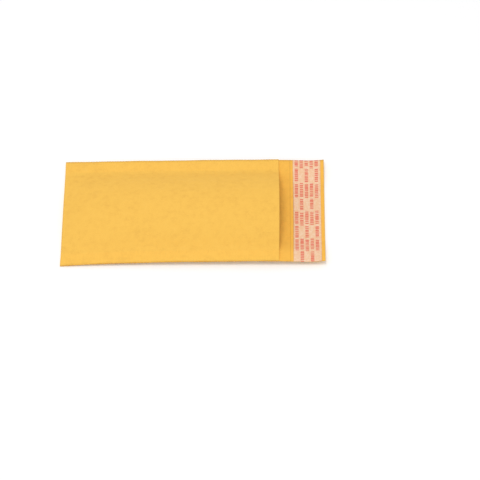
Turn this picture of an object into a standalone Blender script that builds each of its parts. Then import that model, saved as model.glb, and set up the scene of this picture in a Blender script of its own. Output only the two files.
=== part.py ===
"""Padded envelope with its mouth open: a kraft wrapper folded once across the bottom, a bubble-film liner
folded inside it, crimped side seals, and a flap that carries an adhesive band under a release strip.

Every piece is laid out flat and then bent by one rule, so the layers nest. The flat frame is (s, v, w):
s runs along the web from the bottom fold, positive up the front panel and negative down the back panel and
the flap; v runs across the web; w is the depth from the wrapper's outer face towards the pocket.
"""

import math

import bmesh
import bpy
import numpy as np

MM = 0.001

# Outline of the blank
LENGTH = 203.2 * MM
WIDTH = 101.6 * MM
FLAP_LENGTH = 35.2 * MM
SEAL_WIDTH = 11.0 * MM

# Sheet thicknesses and the clearance between neighbouring layers
PAPER = 0.25 * MM
FILM = 0.2 * MM
GAP = 0.3 * MM

# Bottom fold: nominal web length of a quarter turn, and the facets that each sheet has in it
FOLD_QUARTER = 1.5 * MM
PAPER_FACETS = 3
FILM_FACETS = 2

# Form of the puffed pocket: heights above the floor
CREST_AT_FOLD = 4.4 * MM
CREST_FAR = 19.2 * MM
CREST_RISE_LENGTH = 34.0 * MM
SEAL_LIFT_AT_FOLD = 0.6 * MM
SEAL_LIFT_FAR = 5.5 * MM
SEAL_LIFT_LENGTH = 75.0 * MM
ARCH_POWER = 2.2
RAMP_POWER = 1.5

# Share of the arch's draw-in that the side seals follow; the rest gathers in small creases along them
SEAL_DRAW = 0.42

# Form of the flap
FLAP_EDGE_DIP = 4.6 * MM
FLAP_DIP_AT = 0.72
CURL_HEIGHT = 1.4 * MM
CURL_FROM = 0.62
FLAP_ROWS_BEFORE_STRIP = 2
FLAP_ROWS_UNDER_STRIP = 4

# Ribs crimped into the paper across the side seals
CRIMP_HEIGHT = 0.25 * MM
CRIMP_START = 6.0 * MM
CRIMP_RUN_IN = 1.5 * MM
RIBS_PER_ROW = 4

# Bubbles of the liner
BUBBLE_ROWS = 7
BUBBLES_ALONG = 13
BUBBLE_SPACING = 10.4 * MM
BUBBLE_DIAMETER = 10.0 * MM
BUBBLE_HEIGHT = 3.0 * MM
BUBBLE_SIDES = 8
BUBBLE_TOP = 0.72
BUBBLE_CLEARANCE = 0.6 * MM
BUBBLE_LEAST = 0.1 * MM

# Closure on the flap's inner face
STRIP_START = 10.9 * MM
STRIP_WIDTH = 21.6 * MM
ADHESIVE_INSET = 0.8 * MM
ADHESIVE_THICKNESS = 0.2 * MM
RELEASE_THICKNESS = 0.2 * MM

# Derived sizes
POCKET = LENGTH - FLAP_LENGTH
MOUTH = POCKET - FOLD_QUARTER
FREE_END = LENGTH - FOLD_QUARTER
HALF_WIDTH = WIDTH / 2
SEAL_LINE = HALF_WIDTH - SEAL_WIDTH
CRIMP_LINE = SEAL_LINE + CRIMP_RUN_IN
SEAL_STACK = 2 * (PAPER + GAP + FILM) + GAP
ROW_LENGTH = (POCKET - CRIMP_START) / BUBBLES_ALONG
CRIMP_PITCH = ROW_LENGTH / RIBS_PER_ROW
FILM_OUTER = PAPER + GAP
FILM_INNER = FILM_OUTER + FILM
RELEASE_OUTER = FILM_OUTER + ADHESIVE_THICKNESS + GAP
BUBBLE_ZONE = BUBBLE_ROWS * BUBBLE_SPACING / 2
FLAT_HALF = 2 * BUBBLE_SPACING
BUBBLE_INSET = (BUBBLE_SPACING - BUBBLE_DIAMETER) / 2
BUBBLE_TURN = 2 * math.pi / BUBBLE_SIDES
NUDGE = 0.02 * MM
SAME = 0.001 * MM


# The form of the folded web


def settle(at_fold, far, length, reach):
    """Height that starts at the fold and settles towards a far value."""
    return far + (at_fold - far) * np.exp(-np.maximum(reach, 0) / length)


def crest(reach):
    """Height of the front panel's outer face on the centre line."""
    return settle(CREST_AT_FOLD, CREST_FAR, CREST_RISE_LENGTH, np.minimum(reach, MOUTH))


def seal_lift(reach):
    """Height of the underside of the side seals, and of the flap's side edges past the mouth."""
    pocket = settle(
        SEAL_LIFT_AT_FOLD, SEAL_LIFT_FAR, SEAL_LIFT_LENGTH, np.minimum(reach, MOUTH)
    )
    left = np.clip(1 - (reach - MOUTH) / (FLAP_DIP_AT * FLAP_LENGTH), 0, 1)
    return np.where(reach <= MOUTH, pocket, FLAP_EDGE_DIP + (pocket - FLAP_EDGE_DIP) * left**2)


def curl(reach):
    """Height that the free end of the flap gains."""
    start = MOUTH + CURL_FROM * FLAP_LENGTH
    return CURL_HEIGHT * (np.maximum(reach - start, 0) / (FREE_END - start)) ** 2


def back_height(reach, v):
    """Outer face of the back panel and the flap: flat in the middle, rising to the seals."""
    across = np.clip((np.abs(v) - FLAT_HALF) / (SEAL_LINE - FLAT_HALF), 0, 1)
    return seal_lift(reach) * across**RAMP_POWER + curl(reach)


def front_height(reach, v):
    """Outer face of the front panel: an arch that meets the seals at a crease."""
    across = np.minimum(np.abs(v) / SEAL_LINE, 1)
    foot = seal_lift(reach) + SEAL_STACK
    return foot + (crest(reach) - foot) * (1 - across**ARCH_POWER)


def drawn_in(reach, v):
    """Distance from the centre line after the arch has drawn the side seals together."""
    pocket = np.minimum(reach, MOUTH)
    sag = crest(pocket) - seal_lift(pocket) - SEAL_STACK
    shrink = SEAL_DRAW * 2 * sag**2 / (3 * SEAL_LINE)
    return v - np.clip(v, -SEAL_LINE, SEAL_LINE) * shrink / SEAL_LINE


def outer_face(s, v):
    """Point of the wrapper's outer face for a point of the flat web."""
    low = back_height(0, v)
    radius = (front_height(0, v) - low) / 2
    turn = np.minimum(np.abs(s) / FOLD_QUARTER, 1) * math.pi / 2
    reach = np.maximum(np.abs(s) - FOLD_QUARTER, 0)
    panel = np.where(s > 0, front_height(reach, v), back_height(reach, v))
    nose = low + radius * (1 + np.sign(s) * np.sin(turn))
    z = np.where(np.abs(s) < FOLD_QUARTER, nose, panel)
    x = radius * (1 - np.cos(turn)) + reach * (LENGTH - radius) / FREE_END - LENGTH / 2
    return np.stack([x, drawn_in(reach, v), z], axis=-1)


def crimp(s, v):
    """Lift of the ribs pressed into the side seals."""
    strength = np.clip((np.abs(v) - SEAL_LINE) / CRIMP_RUN_IN, 0, 1)
    ribbed = (np.abs(s) > CRIMP_START - SAME) & (np.abs(s) < POCKET + SAME)
    wave = np.cos(2 * math.pi * (np.abs(s) - CRIMP_START) / CRIMP_PITCH)
    return np.where(ribbed, strength * wave * CRIMP_HEIGHT / 2, 0)


def bend(bm, crimped):
    """Moves every vertex from the flat frame onto the folded web, with ribs in a crimped sheet."""
    flat = np.array([vert.co for vert in bm.verts])
    s, v, w = flat.T
    along = outer_face(s + NUDGE, v) - outer_face(s - NUDGE, v)
    across = outer_face(s, v + NUDGE) - outer_face(s, v - NUDGE)
    inward = np.cross(across, along)
    inward /= np.linalg.norm(inward, axis=1, keepdims=True)
    depth = w - np.where(s > 0, 1, -1) * crimp(s, v) if crimped else w
    folded = outer_face(s, v) + inward * depth[:, None]
    for vert, place in zip(bm.verts, folded):
        vert.co = place


# Flat sheets


def pocket_stations(facets, rows):
    """Web positions from the apex of the fold to the mouth, the ribbed part in equal rows."""
    quarter = [FOLD_QUARTER * i / facets for i in range(facets + 1)]
    step = (POCKET - CRIMP_START) / rows
    return quarter + [CRIMP_START + step * i for i in range(rows + 1)]


def strip_stations():
    """Web positions across the release strip."""
    step = STRIP_WIDTH / FLAP_ROWS_UNDER_STRIP
    return [POCKET + STRIP_START + step * i for i in range(FLAP_ROWS_UNDER_STRIP + 1)]


def flap_stations():
    """Web positions from the mouth to the flap's free end."""
    step = STRIP_START / FLAP_ROWS_BEFORE_STRIP
    before = [POCKET + step * i for i in range(1, FLAP_ROWS_BEFORE_STRIP)]
    return before + strip_stations() + [LENGTH]


def both_ways(stations):
    """The same stations on both sides of the fold."""
    return [-s for s in reversed(stations[1:])] + stations


def columns(parts):
    """Positions across the web inside the seal lines, each bubble row divided into equal parts."""
    count = BUBBLE_ROWS * parts
    step = 2 * BUBBLE_ZONE / count
    return [-SEAL_LINE] + [step * i - BUBBLE_ZONE for i in range(count + 1)] + [SEAL_LINE]


def flat_grid(s_lines, v_lines, w):
    """Grid whose lines lie at the stations given."""
    bm = bmesh.new()
    bmesh.ops.create_grid(
        bm, x_segments=len(s_lines) - 1, y_segments=len(v_lines) - 1, size=0.5
    )
    for vert in bm.verts:
        row = round((vert.co.x + 0.5) * (len(s_lines) - 1))
        column = round((vert.co.y + 0.5) * (len(v_lines) - 1))
        vert.co = (s_lines[row], v_lines[column], w)
    return bm


def border(bm, v):
    """Open edges that lie along one line across the web."""
    return [
        edge
        for edge in bm.edges
        if edge.is_boundary and all(abs(vert.co.y - v) < SAME for vert in edge.verts)
    ]


def widen(bm, v, new_v):
    """Extrudes one long border sideways."""
    made = bmesh.ops.extrude_edge_only(bm, edges=border(bm, v))
    for item in made["geom"]:
        if isinstance(item, bmesh.types.BMVert):
            item.co.y = new_v


def add_plain_sides(bm, half_width):
    """Flat side parts outside the seal lines."""
    for side in (-1, 1):
        widen(bm, side * SEAL_LINE, side * half_width)


def add_ribbed_sides(bm, cuts):
    """Side seals whose outer part has one line for each crest and each valley of the ribs."""
    for side in (-1, 1):
        widen(bm, side * SEAL_LINE, side * CRIMP_LINE)
        ribbed = [
            edge
            for edge in border(bm, side * CRIMP_LINE)
            if all(
                CRIMP_START - SAME < abs(vert.co.x) < POCKET + SAME for vert in edge.verts
            )
        ]
        bmesh.ops.bisect_edges(bm, edges=ribbed, cuts=cuts)
        widen(bm, side * CRIMP_LINE, side * HALF_WIDTH)


def thicken(bm, thickness):
    """Turns the flat sheet into a closed slab and gives the faces on its pocket side."""
    made = bmesh.ops.extrude_face_region(bm, geom=bm.faces[:], use_keep_orig=True)
    for item in made["geom"]:
        if isinstance(item, bmesh.types.BMVert):
            item.co.z += thickness
    return [item for item in made["geom"] if isinstance(item, bmesh.types.BMFace)]


def finish(bm, name, material, collection, crimped=False):
    """Bends the slab and stores it as one object."""
    bend(bm, crimped)
    bmesh.ops.triangulate(bm, faces=bm.faces[:], quad_method="BEAUTY", ngon_method="BEAUTY")
    bmesh.ops.recalc_face_normals(bm, faces=bm.faces[:])
    mesh = bpy.data.meshes.new(name)
    bm.to_mesh(mesh)
    bm.free()
    mesh.materials.append(material)
    obj = bpy.data.objects.new(name, mesh)
    collection.objects.link(obj)
    return obj


# Bubbles


def room_for_bubble(s, v):
    """Height a bubble may have before it meets the one on the opposite panel."""
    reach = abs(s) - FOLD_QUARTER
    room = float(front_height(reach, v) - back_height(reach, v)) - 2 * FILM_INNER
    return max(min((room - BUBBLE_CLEARANCE) / 2, BUBBLE_HEIGHT), BUBBLE_LEAST)


def bubble_row(v):
    """Number of the bubble row that a position across the web falls in."""
    return math.floor((v + BUBBLE_ZONE) / BUBBLE_SPACING)


def half_cell(s):
    """Number of the half cell along a panel, counted from the first crimp."""
    return math.floor((abs(s) - CRIMP_START) / (ROW_LENGTH / 2))


def in_bubble_zone(face):
    """True for a cell of the field that carries bubbles."""
    centre = face.calc_center_median()
    return abs(centre.y) < BUBBLE_ZONE and CRIMP_START < abs(centre.x) < POCKET


def lay_cells(bm):
    """Joins half cells in pairs, each row shifted by half a cell against its neighbours."""
    inner = []
    for edge in bm.edges:
        if len(edge.link_faces) != 2 or not all(map(in_bubble_zone, edge.link_faces)):
            continue
        one, other = [face.calc_center_median() for face in edge.link_faces]
        if bubble_row(one.y) != bubble_row(other.y) or one.x * other.x < 0:
            continue
        first = min(half_cell(one.x), half_cell(other.x))
        if first % 2 == bubble_row(one.y) % 2:
            inner.append(edge)
    bmesh.ops.dissolve_edges(bm, edges=inner, use_verts=False)


def is_cell(face):
    """True for a whole cell, which is two half cells long."""
    s_values = [vert.co.x for vert in face.verts]
    return in_bubble_zone(face) and max(s_values) - min(s_values) > ROW_LENGTH - SAME


def split_cell_ends(bm, cells):
    """Adds a point in the middle of each cell's end, so that a cell has eight."""
    ends = {
        edge
        for face in cells
        for edge in face.edges
        if abs(edge.verts[0].co.x - edge.verts[1].co.x) < SAME
    }
    bm.edges.index_update()
    ordered = sorted(ends, key=lambda edge: edge.index)
    bmesh.ops.bisect_edges(bm, edges=ordered, cuts=1)


def raise_bubbles(bm, faces):
    """Domes with flattened tops on the pocket side of the film."""
    cells = [face for face in faces if is_cell(face)]
    split_cell_ends(bm, cells)
    bmesh.ops.inset_individual(bm, faces=cells, thickness=BUBBLE_INSET)
    centres = [face.calc_center_bounds() for face in cells]
    for face, centre in zip(cells, centres):
        for vert in face.verts:
            angle = math.atan2(vert.co.y - centre.y, vert.co.x - centre.x)
            angle = round(angle / BUBBLE_TURN) * BUBBLE_TURN
            vert.co.x = centre.x + BUBBLE_DIAMETER / 2 * math.cos(angle)
            vert.co.y = centre.y + BUBBLE_DIAMETER / 2 * math.sin(angle)
    tops = bmesh.ops.extrude_discrete_faces(bm, faces=cells)["faces"]
    for face, centre in zip(tops, centres):
        for vert in face.verts:
            vert.co.x = centre.x + (vert.co.x - centre.x) * BUBBLE_TOP
            vert.co.y = centre.y + (vert.co.y - centre.y) * BUBBLE_TOP
            vert.co.z += room_for_bubble(vert.co.x, vert.co.y)


# The pieces


def make_wrapper(material, collection):
    """Kraft sheet: front panel, bottom fold, back panel and flap."""
    front = pocket_stations(PAPER_FACETS, BUBBLES_ALONG)
    back = front + flap_stations()
    bm = flat_grid([-s for s in reversed(back[1:])] + front, columns(2), 0)
    add_ribbed_sides(bm, 2 * RIBS_PER_ROW - 1)
    thicken(bm, PAPER)
    return finish(bm, "kraft_wrapper", material, collection, crimped=True)


def make_liner(material, collection):
    """Bubble film folded inside the wrapper, its bubbles facing the pocket."""
    stations = both_ways(pocket_stations(FILM_FACETS, 2 * BUBBLES_ALONG))
    bm = flat_grid(stations, columns(1), FILM_OUTER)
    add_plain_sides(bm, HALF_WIDTH)
    lay_cells(bm)
    raise_bubbles(bm, thicken(bm, FILM))
    return finish(bm, "bubble_liner", material, collection)


def make_band(name, inset, w, thickness, material, collection):
    """Band across the inner face of the flap."""
    stations = strip_stations()
    stations[0] += inset
    stations[-1] -= inset
    bm = flat_grid([-s for s in reversed(stations)], columns(2), w)
    add_plain_sides(bm, HALF_WIDTH - inset)
    thicken(bm, thickness)
    return finish(bm, name, material, collection)


def make_material(name, colour, roughness):
    """Principled material of one piece."""
    material = bpy.data.materials.new(name)
    material.use_nodes = True
    shader = material.node_tree.nodes["Principled BSDF"]
    shader.inputs["Base Color"].default_value = (*colour, 1)
    shader.inputs["Roughness"].default_value = roughness
    shader.inputs["Metallic"].default_value = 0
    material.diffuse_color = (*colour, 1)
    return material


def main():
    for obj in list(bpy.data.objects):
        bpy.data.objects.remove(obj, do_unlink=True)
    pieces = bpy.data.collections.new("padded_envelope")
    bpy.context.scene.collection.children.link(pieces)
    kraft = make_material("kraft_paper", (0.93, 0.53, 0.107), 0.8)
    film = make_material("bubble_film", (0.86, 0.88, 0.9), 0.3)
    glue = make_material("pressure_adhesive", (0.9, 0.72, 0.42), 0.35)
    liner = make_material("release_film", (0.9, 0.6, 0.4), 0.4)
    make_wrapper(kraft, pieces)
    make_liner(film, pieces)
    make_band("adhesive_band", ADHESIVE_INSET, FILM_OUTER, ADHESIVE_THICKNESS, glue, pieces)
    make_band("release_strip", 0, RELEASE_OUTER, RELEASE_THICKNESS, liner, pieces)


main()
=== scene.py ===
"""Padded envelope with its mouth open: kraft wrapper, bubble-film liner, adhesive band and release strip.

Every sheet is laid out flat and bent by one rule. The flat frame is (s, v, w): s runs along the web from the
bottom fold, positive up the front panel and negative down the back panel and the flap; v runs across the
web; w is the depth from the wrapper's outer face towards the pocket.
"""

import math

import bmesh
import bpy
import numpy as np
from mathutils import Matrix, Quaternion, Vector


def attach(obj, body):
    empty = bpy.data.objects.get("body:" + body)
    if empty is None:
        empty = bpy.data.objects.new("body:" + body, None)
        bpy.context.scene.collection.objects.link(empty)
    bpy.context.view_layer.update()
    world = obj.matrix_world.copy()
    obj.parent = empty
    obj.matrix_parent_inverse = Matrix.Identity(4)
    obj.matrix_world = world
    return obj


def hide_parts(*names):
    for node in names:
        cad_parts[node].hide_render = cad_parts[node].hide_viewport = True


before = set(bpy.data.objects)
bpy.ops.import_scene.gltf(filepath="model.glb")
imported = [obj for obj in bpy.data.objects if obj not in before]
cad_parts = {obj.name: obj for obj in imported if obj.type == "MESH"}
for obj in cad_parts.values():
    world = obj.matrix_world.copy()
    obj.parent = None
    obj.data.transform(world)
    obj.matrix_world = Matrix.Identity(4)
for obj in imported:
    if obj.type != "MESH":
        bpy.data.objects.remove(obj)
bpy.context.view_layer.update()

MM = 0.001

# Outline of the blank and the layers, from the paper's outer face to the film's inner face
LENGTH = 203.2 * MM
WIDTH = 101.6 * MM
FLAP_LENGTH = 35.2 * MM
SEAL_WIDTH = 11.0 * MM
FOLD_QUARTER = 1.5 * MM
PAPER = 0.16 * MM
FILM = 0.08 * MM
GAP = 0.13 * MM
CLEARANCE = 0.02 * MM
FILM_MOUTH_MARGIN = 0.4 * MM
FILM_SIDE_MARGIN = 0.2 * MM

# The same layers in the solids, which keep a wider gap
SOLID_PAPER = 0.25 * MM
SOLID_FILM = 0.2 * MM
SOLID_GAP = 0.3 * MM

# Form of the puffed pocket and of the flap
CREST_AT_FOLD = 4.4 * MM
CREST_FAR = 19.2 * MM
CREST_RISE_LENGTH = 34.0 * MM
SEAL_LIFT_AT_FOLD = 0.6 * MM
SEAL_LIFT_FAR = 5.5 * MM
SEAL_LIFT_LENGTH = 75.0 * MM
SEAL_DRAW = 0.42
ARCH_POWER = 2.0
RAMP_POWER = 1.9
CREASE_SOFTNESS = 0.12
BACK_SOFTNESS = 0.12
FLAP_SOFTNESS = 0.4
FLAP_EDGE_DIP = 4.6 * MM
FLAP_DIP_AT = 0.72
CURL_HEIGHT = 1.4 * MM
CURL_FROM = 0.62
SLOPE_STEP = 0.02 * MM

# Bubbles
CRIMP_START = 6.0 * MM
BUBBLE_ROWS = 7
BUBBLES_ALONG = 13
BUBBLE_SPACING = 10.4 * MM
BUBBLE_DIAMETER = 10.0 * MM
BUBBLE_HEIGHT = 3.0 * MM
BUBBLE_CLEARANCE = 0.6 * MM
BUBBLE_LEAST = 0.1 * MM
DOME_SIDES = 24
DOME_RINGS = 6
DOME_SHOULDER = 0.55
DOME_RISE = 0.8
DOME_CAP = 0.12

# Adhesive band and release strip
STRIP_START = 10.9 * MM
STRIP_WIDTH = 21.6 * MM
ADHESIVE_INSET = 0.8 * MM
ADHESIVE_THICKNESS = 0.08 * MM
RELEASE_THICKNESS = 0.07 * MM
RIPPLE_HEIGHT = 0.05 * MM
RIPPLE_ACROSS = 6.3 * MM
RIPPLE_SWAY = 5.0 * MM
RIPPLE_ALONG = 4.4 * MM
PEEL_HEIGHT = 0.5 * MM
PEEL_LENGTH = 12.0 * MM

# Ribs of the side seals, and dips of the paper between the bubbles
RIB_PITCH = 2.08 * MM
RIB_HEIGHT = 0.24 * MM
RIB_RUN_IN = 1.2 * MM
RIB_FADE = 0.2 * MM
DIP_DEPTH = 0.24 * MM
DIP_FROM = 0.35
DIP_REACH = 0.62
DIP_SIDE_FADE = 5.0 * MM
DIP_MOUTH_FADE = 4.0 * MM

# Puckers along the side seals: each draws its place, size, strength and lean from these ranges
PUCKER_SEED = 11
PUCKER_HEIGHT = 0.3 * MM
PUCKER_FROM = 14.0 * MM
PUCKER_TO = 162.0 * MM
PUCKER_PITCH = 9.5 * MM
PUCKER_SHIFT = (-3.5 * MM, 3.5 * MM)
PUCKER_HALF = (1.6 * MM, 3.2 * MM)
PUCKER_RUN = (7.0 * MM, 17.0 * MM)
PUCKER_STRENGTH = (0.25, 1.0)
PUCKER_LEAN = (-0.25, 0.25)
PUCKER_RISE = (-0.5 * MM, 2.0 * MM)
PUCKER_FADE = 2.0 * MM

# Slow unevenness: swell of the front panel, dents at its corners, waves of the free edges
SWELL_SEED = 5
SWELL_HEIGHT = 0.35 * MM
SWELL_LENGTH = 38.0 * MM
SWELL_WAVES = 7
SWELL_FADE = 12.0 * MM
DENT_PLACE = (7.0 * MM, 41.0 * MM)
DENT_REACH = (4.2 * MM, 3.2 * MM)
DENT_DEPTHS = ((-1, 0.3 * MM), (1, 0.2 * MM))
WAVE_HEIGHT = 0.12 * MM
WAVE_LONG = 9.5 * MM
WAVE_SHORT = 4.1 * MM
WAVE_SHORT_SHARE = 0.6

# Printed rows of the release strip: places from its inner edge and from the far side edge
ROW_START = 0.7 * MM
ROW_PITCH = 3.92 * MM
ROW_INK = 0.67
ROW_COUNT = 5
ROW_SALT = 31.0
DASH_PITCH = 1.7 * MM
DASH_STAGGER = 0.37
DASH_LEAST = 0.5
DASH_SPREAD = 0.38
RUN_PERIOD = 53.9 * MM
RUN_SHIFT = 5.4 * MM
RUN_WORDS = ((0.0, 12.8 * MM), (14.7 * MM, 26.0 * MM), (27.9 * MM, 41.2 * MM))

# Score line across the flap: its distance from the mouth, and the half-widths between which its painted
# shade line fades
SCORE_AT = 8.6 * MM
SCORE_SHADE_FADE = (0.15 * MM, 0.6 * MM)

# Colours, linear
KRAFT_FACE = (0.955, 0.555, 0.097)
# painted light: kraft painted paler over the side seals, for the extra light their flat tops catch
KRAFT_SEAL_PAINTED_LIGHT = (0.985, 0.567, 0.098)
# inner face: kraft painted a deeper orange, standing in for the warm bounce light and shade between the
# paper's inner faces
KRAFT_INNER_PAINTED_BOUNCE = (0.985, 0.522, 0.08)
# colour of the dark fibres, and also of the painted shade line along the flap's score
KRAFT_FIBRE_AND_SCORE_SHADE = (0.62, 0.30, 0.05)
KRAFT_PALE = (1.0, 0.66, 0.2)
FILM_WHITE = (0.96, 0.965, 0.975)
FILM_MILKY = (0.9, 0.92, 0.94)
GLUE_AMBER = (0.86, 0.66, 0.34)
GLUE_LINE = (0.7, 0.48, 0.2)
STRIP_PEACH = (0.89, 0.53, 0.29)
STRIP_PALE = (0.965, 0.75, 0.57)
STRIP_RED = (0.78, 0.10, 0.06)
FLOOR_WHITE = (0.93, 0.93, 0.93)
WHITE = (1.0, 1.0, 1.0)
BLACK = (0.0, 0.0, 0.0)

# Studio: metres, watts, degrees, and the lens in millimetres
FLOOR_HALF = 6.0
FLOOR_DROP = 0.15 * MM
FLOOR_GLOW = 0.12
SURROUND = 0.618
KEY_PLACE = (-0.12, -0.34, 1.72)
KEY_SIZE = 0.9
KEY_WATTS = 12.55
CAMERA_AZIMUTH = -1.0
CAMERA_ELEVATION = 52.81
CAMERA_ROLL = -0.92
CAMERA_DISTANCE = 1.95
CAMERA_TARGET = (0.0361, -0.0293, 0.005)
LENS = 190.3
SENSOR = 36.0
CLIP_NEAR = 0.05
CLIP_FAR = 50.0

# Derived sizes
POCKET = LENGTH - FLAP_LENGTH
MOUTH = POCKET - FOLD_QUARTER
FREE_END = LENGTH - FOLD_QUARTER
HALF_WIDTH = WIDTH / 2
SEAL_LINE = HALF_WIDTH - SEAL_WIDTH
# band over which the painted light of the side seals blends in
SEAL_PAINTED_LIGHT_BLEND = (SEAL_LINE - 1.5 * MM, SEAL_LINE + 1.0 * MM)
FILM_INNER = PAPER + GAP + FILM
SEAL_STACK = 2 * FILM_INNER + CLEARANCE
SOLID_STACK = 2 * (SOLID_PAPER + SOLID_GAP + SOLID_FILM) + SOLID_GAP
ROW_LENGTH = (POCKET - CRIMP_START) / BUBBLES_ALONG
BUBBLE_ZONE = BUBBLE_ROWS * BUBBLE_SPACING / 2
FLAT_HALF = 2 * BUBBLE_SPACING


# The form of the folded web


def ease(edge_0, edge_1, value):
    """Smooth step from 0 to 1 between two values."""
    t = np.clip((value - edge_0) / (edge_1 - edge_0), 0, 1)
    return t * t * (3 - 2 * t)


def settle(at_fold, far, length, reach):
    """Height that starts at the fold and settles towards a far value."""
    return far + (at_fold - far) * np.exp(-np.maximum(reach, 0) / length)


def crest(reach):
    """Height of the front panel's outer face on the centre line."""
    return settle(CREST_AT_FOLD, CREST_FAR, CREST_RISE_LENGTH, np.minimum(reach, MOUTH))


def seal_lift(reach):
    """Height of the underside of the side seals, and of the flap's side edges past the mouth."""
    pocket = settle(
        SEAL_LIFT_AT_FOLD, SEAL_LIFT_FAR, SEAL_LIFT_LENGTH, np.minimum(reach, MOUTH)
    )
    left = np.clip(1 - (reach - MOUTH) / (FLAP_DIP_AT * FLAP_LENGTH), 0, 1)
    return np.where(reach <= MOUTH, pocket, FLAP_EDGE_DIP + (pocket - FLAP_EDGE_DIP) * left**2)


def curl(reach):
    """Height that the free end of the flap gains."""
    start = MOUTH + CURL_FROM * FLAP_LENGTH
    return CURL_HEIGHT * (np.maximum(reach - start, 0) / (FREE_END - start)) ** 2


def back_height(reach, v):
    """Outer face of the back panel and the flap: flat in the middle, rising softly to the seals."""
    inner = (SEAL_LINE - np.abs(v)) / (SEAL_LINE - FLAT_HALF)
    soft = BACK_SOFTNESS + FLAP_SOFTNESS * ease(MOUTH, FREE_END, reach)
    across = np.clip(1 - (inner + np.hypot(inner, soft)) / 2, 0, 1)
    return seal_lift(reach) * across**RAMP_POWER + curl(reach)


def front_height(reach, v):
    """Outer face of the front panel: an arch that runs out softly into the seals."""
    inner = np.maximum(1 - np.abs(v) / SEAL_LINE, 0)
    across = 1 - (1 + CREASE_SOFTNESS) * inner**2 / (inner + CREASE_SOFTNESS)
    foot = seal_lift(reach) + SEAL_STACK
    return foot + (crest(reach) - foot) * (1 - np.maximum(across, 0) ** ARCH_POWER)


def drawn_in(reach, v):
    """Distance from the centre line after the arch has drawn the side seals together."""
    pocket = np.minimum(reach, MOUTH)
    sag = crest(pocket) - seal_lift(pocket) - SOLID_STACK
    shrink = SEAL_DRAW * 2 * sag**2 / (3 * SEAL_LINE)
    return v - np.clip(v, -SEAL_LINE, SEAL_LINE) * shrink / SEAL_LINE


def outer_face(s, v):
    """Point of the wrapper's outer face for a point of the flat web."""
    low = back_height(0, v)
    radius = (front_height(0, v) - low) / 2
    turn = np.minimum(np.abs(s) / FOLD_QUARTER, 1) * math.pi / 2
    reach = np.maximum(np.abs(s) - FOLD_QUARTER, 0)
    panel = np.where(s > 0, front_height(reach, v), back_height(reach, v))
    nose = low + radius * (1 + np.sign(s) * np.sin(turn))
    z = np.where(np.abs(s) < FOLD_QUARTER, nose, panel)
    x = radius * (1 - np.cos(turn)) + reach * (LENGTH - radius) / FREE_END - LENGTH / 2
    return np.stack([x, drawn_in(reach, v), z], axis=-1)


def bend(s, v, w):
    """Points of the folded web for points of the flat frame."""
    along = outer_face(s + SLOPE_STEP, v) - outer_face(s - SLOPE_STEP, v)
    across = outer_face(s, v + SLOPE_STEP) - outer_face(s, v - SLOPE_STEP)
    inward = np.cross(across, along)
    inward /= np.linalg.norm(inward, axis=1, keepdims=True)
    return outer_face(s, v) + inward * w[:, None]


# Fine relief


def facing(s):
    """1 on the front panel, whose outer face looks up, and -1 on the back panel and the flap."""
    return np.where(s > 0, 1, -1)


def in_pocket(s, margin):
    """1 over the two panels of the pocket, easing to 0 at the fold and at the mouth."""
    reach = np.abs(s)
    return ease(FOLD_QUARTER, CRIMP_START, reach) * (1 - ease(POCKET - margin, POCKET, reach))


def between_seals(v, margin):
    """1 over the middle of the web, easing to 0 at the side seals."""
    return 1 - ease(SEAL_LINE - margin, SEAL_LINE, np.abs(v))


def seal_ribs(s, v):
    """Ribs that the heat-sealing jaws press across the side seals, as a rise of the paper."""
    zone = ease(SEAL_LINE, SEAL_LINE + RIB_RUN_IN, np.abs(v)) * in_pocket(s, RIB_FADE)
    return zone * np.sin(2 * math.pi * np.abs(s) / RIB_PITCH) * RIB_HEIGHT / 2


def bubble_centres():
    """Flat positions of the bubbles' centres on the front panel."""
    centres = []
    for row in range(BUBBLE_ROWS):
        v = (row + 0.5) * BUBBLE_SPACING - BUBBLE_ZONE
        shift = row % 2
        for i in range(BUBBLES_ALONG - shift):
            centres.append((CRIMP_START + ROW_LENGTH * (i + 0.5 + shift / 2), v))
    return centres


def bubble_dips(s, v):
    """Dips of the paper between the bubbles behind it, 0 over a bubble and 1 between them."""
    nearest = np.full(len(s), 1.0)
    for centre_s, centre_v in bubble_centres():
        near = np.abs(np.abs(s) - centre_s) < BUBBLE_DIAMETER
        near &= np.abs(v - centre_v) < BUBBLE_DIAMETER
        far = np.hypot(np.abs(s[near]) - centre_s, v[near] - centre_v)
        nearest[near] = np.minimum(nearest[near], far / (DIP_REACH * BUBBLE_DIAMETER))
    zone = between_seals(v, DIP_SIDE_FADE) * in_pocket(s, DIP_MOUTH_FADE)
    return ease(DIP_FROM, 1.0, nearest) * zone


def puckers(s, v):
    """Short creases that run from the side seals up the front panel, where the arch draws the seals in."""
    draw = np.random.default_rng(PUCKER_SEED)
    total = np.zeros(len(s))
    for side in (-1, 1):
        for centre in np.arange(PUCKER_FROM, PUCKER_TO, PUCKER_PITCH):
            place = centre + draw.uniform(*PUCKER_SHIFT)
            half = draw.uniform(*PUCKER_HALF)
            run = draw.uniform(*PUCKER_RUN)
            strong = draw.uniform(*PUCKER_STRENGTH)
            lean = draw.uniform(*PUCKER_LEAN)
            inner = SEAL_LINE - side * v
            ridge = np.exp(-(((s - place - lean * inner) / half) ** 2))
            total += strong * ridge * ease(*PUCKER_RISE, inner) * (1 - ease(0, run, inner))
    return total * (s > 0) * in_pocket(s, PUCKER_FADE)


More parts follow.
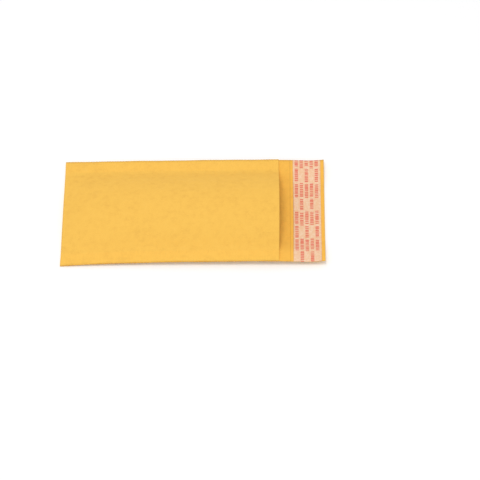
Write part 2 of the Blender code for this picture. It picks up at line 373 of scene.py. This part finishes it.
def swell(s, v):
    """Slow unevenness of the front panel, about 0 to 1."""
    draw = np.random.default_rng(SWELL_SEED)
    total = np.zeros(len(s))
    for _ in range(SWELL_WAVES):
        along, across = draw.uniform(-1, 1, 2) * 2 * math.pi / SWELL_LENGTH
        total += np.sin(along * s + across * v + draw.uniform(0, 2 * math.pi))
    zone = between_seals(v, SWELL_FADE) * in_pocket(s, SWELL_FADE)
    return (0.5 + total / SWELL_WAVES) * zone * (s > 0)


def corner_dents(s, v):
    """Small hollows where the side seals meet the bottom fold, as a depth."""
    total = np.zeros(len(s))
    place_s, place_v = DENT_PLACE
    reach_s, reach_v = DENT_REACH
    for side, depth in DENT_DEPTHS:
        far = np.hypot((s - place_s) / reach_s, (v - side * place_v) / reach_v)
        total += depth * np.exp(-(far**2))
    return total * (s > 0)


def edge_waves(s, v):
    """Slight waves of the free edges of the seals and of the flap, as a rise."""
    waves = np.sin(s / WAVE_LONG + 2 * np.sign(v)) + WAVE_SHORT_SHARE * np.sin(s / WAVE_SHORT)
    return ease(SEAL_LINE, HALF_WIDTH, np.abs(v)) * waves * WAVE_HEIGHT


def soft_depth(s, v):
    """Depth of the soft relief that the paper and the film share, under the plain form of the web."""
    depth = DIP_DEPTH * bubble_dips(s, v) + corner_dents(s, v)
    lift = PUCKER_HEIGHT * puckers(s, v) + SWELL_HEIGHT * swell(s, v)
    return depth - lift - facing(s) * edge_waves(s, v)


def paper_depth(s, v):
    """Depth of the paper's outer face, with the ribs of the seals."""
    return soft_depth(s, v) - facing(s) * seal_ribs(s, v)


def film_depth(s, v):
    """Depth of the bubble film between its bubbles."""
    return FILM_INNER + soft_depth(s, v)


def adhesive_depth(s, v):
    """Depth of the adhesive's lower face, on the paper."""
    return PAPER + CLEARANCE + soft_depth(s, v)


def release_depth(s, v):
    """Depth of the release strip: it ripples a little over the adhesive, drops to the paper along its edges
    and lifts at the near corner, where a finger starts the peel."""
    start = np.abs(s) - POCKET - STRIP_START
    inner = np.minimum(np.minimum(start, STRIP_WIDTH - start), HALF_WIDTH - np.abs(v))
    ripple = np.sin(v / RIPPLE_ACROSS + np.sin(s / RIPPLE_SWAY)) * np.sin(s / RIPPLE_ALONG)
    raised = ADHESIVE_THICKNESS + RIPPLE_HEIGHT * (1 + ripple)
    free = PEEL_LENGTH - (STRIP_WIDTH - start) - (HALF_WIDTH + v)
    peel = PEEL_HEIGHT * (np.maximum(free, 0) / PEEL_LENGTH) ** 2
    base = PAPER + 2 * CLEARANCE + soft_depth(s, v)
    return base + raised * ease(0, ADHESIVE_INSET, inner) + peel


# Sheets


def stations(start, *parts):
    """Positions in one list, from a start and from parts that each give an end and a number of steps."""
    line = [start]
    for end, steps in parts:
        line += list(np.linspace(line[-1], end, steps + 1)[1:])
    return np.array(line)


def make_sheet(name, s_line, v_line, depth, materials, thickness=0):
    """Sheet on the folded web with the given stations, thickened towards the pocket if it has a thickness.
    Three materials are those of its outer face, its inner face and its cut edge."""
    bm = bmesh.new()
    bmesh.ops.create_grid(bm, x_segments=len(s_line) - 1, y_segments=len(v_line) - 1, size=0.5)
    unit = np.array([vert.co for vert in bm.verts])
    s = s_line[np.rint((unit[:, 0] + 0.5) * (len(s_line) - 1)).astype(int)]
    v = v_line[np.rint((unit[:, 1] + 0.5) * (len(v_line) - 1)).astype(int)]
    places = bend(s, v, depth(s, v))
    for vert, place in zip(bm.verts, places):
        vert.co = place
    mesh = bpy.data.meshes.new(name)
    bm.to_mesh(mesh)
    bm.free()
    mesh.shade_smooth()
    for material in materials:
        mesh.materials.append(material)
    sheet = bpy.data.objects.new(name, mesh)
    bpy.context.scene.collection.objects.link(sheet)
    if thickness:
        solid = sheet.modifiers.new("thickness", "SOLIDIFY")
        solid.thickness = thickness
        solid.offset = -1
        solid.use_quality_normals = True
        if len(materials) == 3:
            solid.material_offset = 1
            solid.material_offset_rim = 2
    return sheet


def dome_ring(panel, centre, ring):
    """Points of one ring of a bubble's dome, counted from its foot, on the front (1) or back (-1) panel."""
    turn = ring / (DOME_RINGS - 1) * math.pi / 2
    share = math.cos(turn) ** DOME_SHOULDER if ring < DOME_RINGS - 1 else DOME_CAP
    radius = BUBBLE_DIAMETER / 2 * share
    angles = np.arange(DOME_SIDES) * 2 * math.pi / DOME_SIDES
    s = centre[0] + radius * np.cos(angles)
    v = centre[1] + radius * np.sin(angles)
    reach = s - FOLD_QUARTER
    room = front_height(reach, v) - back_height(reach, v) - 2 * FILM_INNER
    high = np.clip((room - BUBBLE_CLEARANCE) / 2, BUBBLE_LEAST, BUBBLE_HEIGHT)
    return bend(panel * s, v, film_depth(panel * s, v) + high * math.sin(turn) ** DOME_RISE)


def add_domes(film):
    """Joins the domes of the bubbles to the film sheet, on both panels."""
    bm = bmesh.new()
    bm.from_mesh(film.data)
    for panel in (-1, 1):
        for centre in bubble_centres():
            rings = []
            for ring in range(DOME_RINGS):
                rings.append([bm.verts.new(point) for point in dome_ring(panel, centre, ring)])
            for low, high in zip(rings, rings[1:]):
                for i in range(DOME_SIDES):
                    j = (i + 1) % DOME_SIDES
                    bm.faces.new((low[i], low[j], high[j], high[i]))
            bm.faces.new(rings[-1])
    bmesh.ops.recalc_face_normals(bm, faces=bm.faces[:])
    bm.to_mesh(film.data)
    bm.free()
    film.data.shade_smooth()


# Materials


class Wire:
    """Output of a shader node; arithmetic on it adds Math nodes."""

    def __init__(self, finish, socket):
        self.finish = finish
        self.socket = socket

    def out(self, name):
        """Another output of the same node."""
        return Wire(self.finish, self.socket.node.outputs[name])

    def math(self, operation, *values):
        """Math node on the given wires and numbers."""
        return self.finish.node("ShaderNodeMath", {"operation": operation}, list(values))

    def __add__(self, other):
        return self.math("ADD", self, other)

    def __sub__(self, other):
        return self.math("SUBTRACT", self, other)

    def __rsub__(self, other):
        return self.math("SUBTRACT", other, self)

    def __mul__(self, other):
        return self.math("MULTIPLY", self, other)

    def __truediv__(self, other):
        return self.math("DIVIDE", self, other)

    def __rtruediv__(self, other):
        return self.math("DIVIDE", other, self)

    def __gt__(self, other):
        return self.math("GREATER_THAN", self, other)

    def __lt__(self, other):
        return self.math("LESS_THAN", self, other)

    def floor(self):
        return self.math("FLOOR", self)

    def fraction(self):
        return self.math("FRACT", self)

    def absolute(self):
        return self.math("ABSOLUTE", self)

    __radd__ = __add__
    __rmul__ = __mul__


class Finish:
    """Material of one kind of surface, built from nodes."""

    def __init__(self, name, **sockets):
        self.material = bpy.data.materials.new(name)
        self.material.use_nodes = True
        self.tree = self.material.node_tree
        self.shader = self.tree.nodes["Principled BSDF"]
        for socket, value in sockets.items():
            self.shader.inputs[socket.replace("_", " ")].default_value = value
        self.place = self.node("ShaderNodeTexCoord", {}, {}).out("Object")

    def node(self, kind, settings, values):
        """Any shader node: its settings first, then the values or links of its sockets."""
        made = self.tree.nodes.new(kind)
        for key, value in settings.items():
            setattr(made, key, value)
        pairs = values.items() if isinstance(values, dict) else enumerate(values)
        for key, value in pairs:
            self.join(value, made.inputs[key])
        shown = [socket for socket in made.outputs if socket.enabled]
        return Wire(self, shown[0])

    def join(self, value, socket):
        """Links a wire to a socket, or sets the socket to a number, vector or colour."""
        if isinstance(value, Wire):
            self.tree.links.new(value.socket, socket)
        elif socket.type == "RGBA":
            socket.default_value = (*value, 1)
        else:
            socket.default_value = value

    def feed(self, socket, value):
        """Sets or links a socket of the surface's shader."""
        self.join(value, self.shader.inputs[socket])

    def noise(self, cells, detail, rough):
        """Fractal noise, about 0 to 1; cells is their number per metre, or one such number for each axis."""
        place = self.place
        if isinstance(cells, tuple):
            place = self.node("ShaderNodeVectorMath", {"operation": "MULTIPLY"}, [place, cells])
            cells = 1.0
        values = {"Vector": place, "Scale": cells, "Detail": detail, "Roughness": rough}
        return self.node("ShaderNodeTexNoise", {}, values)

    def mix(self, factor, first, second):
        """Mix of two colours."""
        return self.node("ShaderNodeMix", {"data_type": "RGBA"}, {0: factor, 6: first, 7: second})

    def steps(self, value, low, high):
        """Smooth step from 0 to 1 between two values."""
        return self.node(
            "ShaderNodeMapRange",
            {"interpolation_type": "SMOOTHSTEP"},
            {"Value": value, "From Min": low, "From Max": high},
        )

    def inside(self, value, ranges):
        """1 where a value lies inside any of the ranges."""
        total = 0.0
        for low, high in ranges:
            total = (value > low) * (value < high) + total
        return total

    def relief(self, height, distance, strength=1.0):
        """Bump from a height."""
        values = {"Height": height, "Distance": distance, "Strength": strength}
        self.feed("Normal", self.node("ShaderNodeBump", {}, values))

    def axis(self, name):
        """One of the object coordinates."""
        return self.node("ShaderNodeSeparateXYZ", {}, [self.place]).out(name)


def kraft_finish(name, colour, inner=False):
    """Kraft paper: short fibres, streaks along the web, cloudy formation. Outside it has painted light over
    the side seals, a paler tone for the light their flat tops catch; inside it has a painted shade line
    along the flap's score line."""
    kraft = Finish(name, Specular_IOR_Level=0.25)
    clouds = kraft.noise(70.0, detail=4.0, rough=0.6)
    streaks = kraft.noise((40.0, 900.0, 900.0), detail=3.0, rough=0.6)
    fibres = kraft.noise((900.0, 2600.0, 2600.0), detail=2.0, rough=0.5)
    specks = kraft.noise(2100.0, detail=1.0, rough=0.5)
    blotches = kraft.noise(230.0, detail=2.0, rough=0.5)
    tone = (clouds - 0.5) * 0.4 + (streaks - 0.5) * 0.2
    tone = tone + (fibres - 0.5) * 0.5 + (blotches - 0.5) * 0.62
    # painted light: the side seals are painted paler, standing in for the light their flat tops catch
    if not inner:
        side = kraft.axis("Y").absolute()
        colour = kraft.mix(kraft.steps(side, *SEAL_PAINTED_LIGHT_BLEND), colour, KRAFT_SEAL_PAINTED_LIGHT)
    dark = kraft.steps(0.5 - tone, 0.4, 0.95)
    base = kraft.mix(dark * 0.35, colour, KRAFT_FIBRE_AND_SCORE_SHADE)
    pale = kraft.steps(tone, 0.05, 0.5)
    base = kraft.mix(pale * 0.2, base, KRAFT_PALE)
    flecks = kraft.steps(specks, 0.66, 0.74)
    base = kraft.mix(flecks * 0.25, base, KRAFT_FIBRE_AND_SCORE_SHADE)
    # painted shade: a darker line along the score, where shade falls in its crease
    if inner:
        score = (kraft.axis("X") - (POCKET + SCORE_AT - LENGTH / 2)).absolute()
        line = 1 - kraft.steps(score, *SCORE_SHADE_FADE)
        base = kraft.mix(line * 0.35, base, KRAFT_FIBRE_AND_SCORE_SHADE)
    kraft.feed("Base Color", base)
    kraft.feed("Roughness", 0.74 + fibres * 0.16)
    kraft.relief(fibres * 0.3 + streaks * 0.2 + blotches * 2.0 + clouds * 0.8, 0.3 * MM, 0.65)
    return kraft.material


def film_finish():
    """Clear, slightly milky polyethylene bubble film with a gloss."""
    film = Finish(
        "bubble_film", Transmission_Weight=0.6, IOR=1.03, Coat_Weight=1.0, Coat_Roughness=0.07
    )
    creases = film.noise(260.0, detail=4.0, rough=0.6)
    haze = film.noise(90.0, detail=2.0, rough=0.5)
    edge_on = film.node("ShaderNodeLayerWeight", {}, {"Blend": 0.35}).out("Facing")
    film.feed("Base Color", film.mix(haze * 0.5, FILM_WHITE, FILM_MILKY))
    film.feed("Alpha", 0.35 + haze * 0.1 + edge_on * 0.25)
    film.feed("Roughness", 0.1 + creases * 0.15)
    film.relief(creases, 0.15 * MM, 0.4)
    return film.material


def adhesive_finish():
    """Pressure-sensitive adhesive, laid as a band with faint coating lines."""
    glue = Finish("adhesive", Specular_IOR_Level=0.5)
    lines = glue.noise((1500.0, 40.0, 40.0), detail=2.0, rough=0.5)
    glue.feed("Base Color", glue.mix(lines * 0.6, GLUE_AMBER, GLUE_LINE))
    glue.feed("Roughness", 0.25 + lines * 0.2)
    glue.relief(lines, 0.05 * MM)
    return glue.material


def printed_dashes(film):
    """1 on the dashes printed on the release film: staggered rows across the flap, in groups with gaps."""
    along = film.axis("X") - (POCKET + STRIP_START - LENGTH / 2)
    across = HALF_WIDTH - film.axis("Y")
    row_at = (along - ROW_START) / ROW_PITCH
    row = row_at.floor()
    in_row = (row_at - row - 0.5).absolute() < ROW_INK / 2
    printed = in_row * (row > -0.5) * (row < ROW_COUNT - 0.5)
    odd = (row * 0.5).fraction() > 0.25
    run_at = ((across + RUN_SHIFT) / RUN_PERIOD + odd * 0.5).fraction() * RUN_PERIOD
    dash_at = across / DASH_PITCH + row * DASH_STAGGER
    dash_name = dash_at.floor() + row * ROW_SALT
    chance = film.node("ShaderNodeTexWhiteNoise", {"noise_dimensions": "1D"}, {"W": dash_name})
    dash = dash_at.fraction() < DASH_LEAST + chance * DASH_SPREAD
    return printed * film.inside(run_at, RUN_WORDS) * dash


def release_finish():
    """Release film: finely grained peach ground with the printed dashes in red."""
    film = Finish("release_film", Specular_IOR_Level=0.45, Coat_Weight=0.15, Coat_Roughness=0.2)
    ink = printed_dashes(film)
    worn = film.noise(1400.0, detail=2.0, rough=0.6)
    cloud = film.noise(120.0, detail=3.0, rough=0.5)
    grain = film.steps(film.noise(640.0, detail=2.0, rough=0.6), 0.42, 0.66)
    ground = film.mix(cloud * 0.2 + grain * 0.45, STRIP_PEACH, STRIP_PALE)
    film.feed("Base Color", film.mix(ink * (0.72 + worn * 0.25), ground, STRIP_RED))
    film.feed("Roughness", 0.34 + cloud * 0.12 + ink * 0.1)
    film.relief(film.noise(300.0, detail=3.0, rough=0.5), 0.12 * MM, 0.5)
    return film.material


# The pieces


def make_wrapper():
    """High-resolution kraft sheet in place of the plain one, with four steps to a rib."""
    panel_steps = round((POCKET - CRIMP_START) / (RIB_PITCH / 4))
    s_line = stations(
        -LENGTH,
        (-POCKET, 34),
        (-CRIMP_START, panel_steps),
        (-FOLD_QUARTER, 6),
        (FOLD_QUARTER, 12),
        (CRIMP_START, 6),
        (POCKET, panel_steps),
    )
    v_line = stations(
        -HALF_WIDTH,
        (-SEAL_LINE - RIB_RUN_IN, 4),
        (-SEAL_LINE, 2),
        (SEAL_LINE, 44),
        (SEAL_LINE + RIB_RUN_IN, 2),
        (HALF_WIDTH, 4),
    )
    papers = (
        kraft_finish("kraft_face", KRAFT_FACE),
        # painted bounce light: the inner face's deeper orange stands in for warm light bounced between the
        # kraft faces
        kraft_finish("kraft_inner_face_painted_bounce", KRAFT_INNER_PAINTED_BOUNCE, inner=True),
        kraft_finish("kraft_cut_edge", KRAFT_PALE),
    )
    wrapper = make_sheet("wrapper_paper", s_line, v_line, paper_depth, papers, PAPER)
    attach(wrapper, "root")
    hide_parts("kraft_wrapper")


def make_liner():
    """Bubble film in place of the plain one."""
    film_end = POCKET - FILM_MOUTH_MARGIN
    film_side = HALF_WIDTH - FILM_SIDE_MARGIN
    s_line = stations(
        -film_end,
        (-CRIMP_START, 104),
        (-FOLD_QUARTER, 4),
        (FOLD_QUARTER, 10),
        (CRIMP_START, 4),
        (film_end, 104),
    )
    v_line = stations(-film_side, (-SEAL_LINE, 4), (SEAL_LINE, 40), (film_side, 4))
    liner = make_sheet("liner_film", s_line, v_line, film_depth, (film_finish(),))
    add_domes(liner)
    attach(liner, "root")
    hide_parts("bubble_liner")


def band_lines(inset):
    """Stations of a band across the flap, inset from the release strip's outline."""
    s_line = stations(
        -(POCKET + STRIP_START + STRIP_WIDTH - inset), (-(POCKET + STRIP_START + inset), 26)
    )
    v_line = stations(-HALF_WIDTH + inset, (HALF_WIDTH - inset, 90))
    return s_line, v_line


def make_closure():
    """Adhesive band and release strip in place of the plain ones."""
    band = make_sheet(
        "adhesive_layer",
        *band_lines(ADHESIVE_INSET),
        adhesive_depth,
        (adhesive_finish(),),
        ADHESIVE_THICKNESS,
    )
    strip = make_sheet(
        "release_film", *band_lines(0), release_depth, (release_finish(),), RELEASE_THICKNESS
    )
    for piece, node in ((band, "adhesive_band"), (strip, "release_strip")):
        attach(piece, "root")
        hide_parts(node)


# Studio


def seen_ray(tree):
    """1 for the rays that show the white surround: from the camera, in a gloss and through the film."""
    path = tree.nodes.new("ShaderNodeLightPath")
    seen = path.outputs["Is Camera Ray"]
    for kind in ("Is Glossy Ray", "Is Transmission Ray"):
        either = tree.nodes.new("ShaderNodeMath")
        either.operation = "MAXIMUM"
        tree.links.new(seen, either.inputs[0])
        tree.links.new(path.outputs[kind], either.inputs[1])
        seen = either.outputs[0]
    return seen


def floor_finish():
    """Matt white with a slight glow for the rays that show the surround, so that it renders as white."""
    white = Finish("floor_white", Roughness=0.9, Specular_IOR_Level=0.1)
    white.feed("Base Color", FLOOR_WHITE)
    seen = Wire(white, seen_ray(white.tree))
    glow = white.node("ShaderNodeEmission", {}, {"Color": WHITE, "Strength": FLOOR_GLOW})
    dark = white.node("ShaderNodeEmission", {}, {"Color": BLACK, "Strength": 0.0})
    added = white.node("ShaderNodeMixShader", {}, [seen, dark, glow])
    matt = Wire(white, white.shader.outputs[0])
    surface = white.node("ShaderNodeAddShader", {}, [matt, added])
    white.join(surface, white.tree.nodes["Material Output"].inputs["Surface"])
    return white.material


def make_floor():
    """White surface under the envelope."""
    bm = bmesh.new()
    bmesh.ops.create_grid(bm, x_segments=1, y_segments=1, size=FLOOR_HALF)
    mesh = bpy.data.meshes.new("floor")
    bm.to_mesh(mesh)
    bm.free()
    mesh.materials.append(floor_finish())
    floor = bpy.data.objects.new("floor", mesh)
    floor.location = (0, 0, -FLOOR_DROP)
    bpy.context.scene.collection.objects.link(floor)


def make_world():
    """White surround, dimmer as light than as seen."""
    world = bpy.data.worlds.new("surround")
    bpy.context.scene.world = world
    world.use_nodes = True
    tree = world.node_tree
    ground = tree.nodes["Background"]
    ground.inputs["Color"].default_value = (*WHITE, 1)
    strength = tree.nodes.new("ShaderNodeMapRange")
    strength.inputs["To Min"].default_value = SURROUND
    strength.inputs["To Max"].default_value = 1.0
    tree.links.new(seen_ray(tree), strength.inputs["Value"])
    tree.links.new(strength.outputs[0], ground.inputs["Strength"])


def make_key_lamp():
    """Round soft box above the envelope."""
    light = bpy.data.lights.new("key", "AREA")
    light.shape = "DISK"
    light.size = KEY_SIZE
    light.energy = KEY_WATTS
    lamp = bpy.data.objects.new("key", light)
    lamp.location = KEY_PLACE
    lamp.rotation_euler = (-Vector(KEY_PLACE)).to_track_quat("-Z", "Y").to_euler()
    bpy.context.scene.collection.objects.link(lamp)


def make_camera():
    """Long lens at the photograph's viewing angle."""
    optics = bpy.data.cameras.new("camera")
    optics.lens = LENS
    optics.sensor_width = SENSOR
    optics.clip_start = CLIP_NEAR
    optics.clip_end = CLIP_FAR
    camera = bpy.data.objects.new("camera", optics)
    azimuth = math.radians(CAMERA_AZIMUTH)
    elevation = math.radians(CAMERA_ELEVATION)
    level = math.cos(elevation)
    look = Vector((math.sin(azimuth) * level, math.cos(azimuth) * level, -math.sin(elevation)))
    roll = Quaternion((0, 0, 1), math.radians(CAMERA_ROLL))
    camera.location = Vector(CAMERA_TARGET) - look * CAMERA_DISTANCE
    camera.rotation_mode = "QUATERNION"
    camera.rotation_quaternion = look.to_track_quat("-Z", "Y") @ roll
    bpy.context.scene.collection.objects.link(camera)
    bpy.context.scene.camera = camera


bpy.context.scene.view_settings.view_transform = "Standard"
make_wrapper()
make_liner()
make_closure()
make_floor()
make_world()
make_key_lamp()
make_camera()
